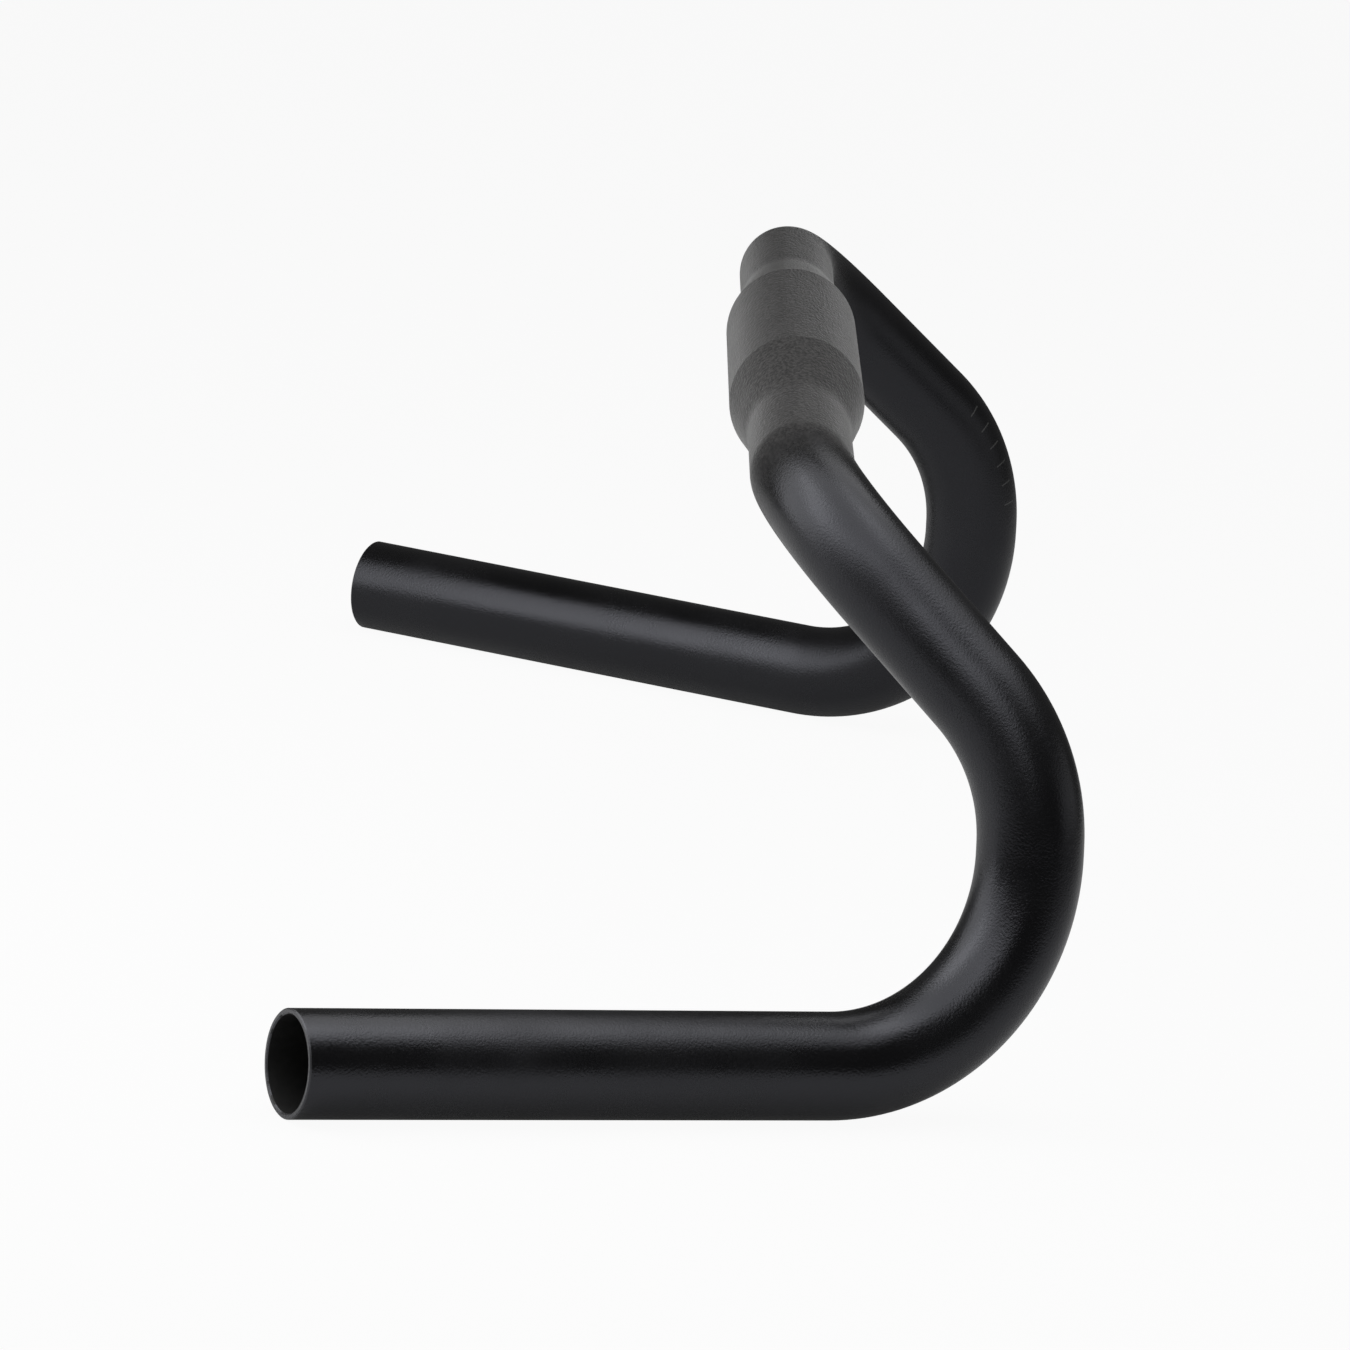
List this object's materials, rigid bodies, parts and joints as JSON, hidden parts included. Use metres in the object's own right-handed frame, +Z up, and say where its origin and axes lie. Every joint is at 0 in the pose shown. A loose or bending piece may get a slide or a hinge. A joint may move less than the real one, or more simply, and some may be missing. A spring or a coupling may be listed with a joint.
{
  "type": "flared drop handlebar",
  "caption": "Aluminium drop handlebar for gravel riding, with flared drops, a compact hook bend and a bulged centre for the stem clamp.",
  "frame": {"origin": "middle of the stem clamp, on the axis of the clamp cylinder", "axes": "+X to the rider's right along the clamp axis, +Y forward, +Z up, with the drops level"},
  "size_m": [0.6206, 0.1734, 0.1443],
  "materials": {
    "bar": "satin black anodised, with the clamp and the tops blasted to a rough grey"
  },
  "bodies": {
    "root": {"handlebar": "bar"}
  },
  "joints": []
}
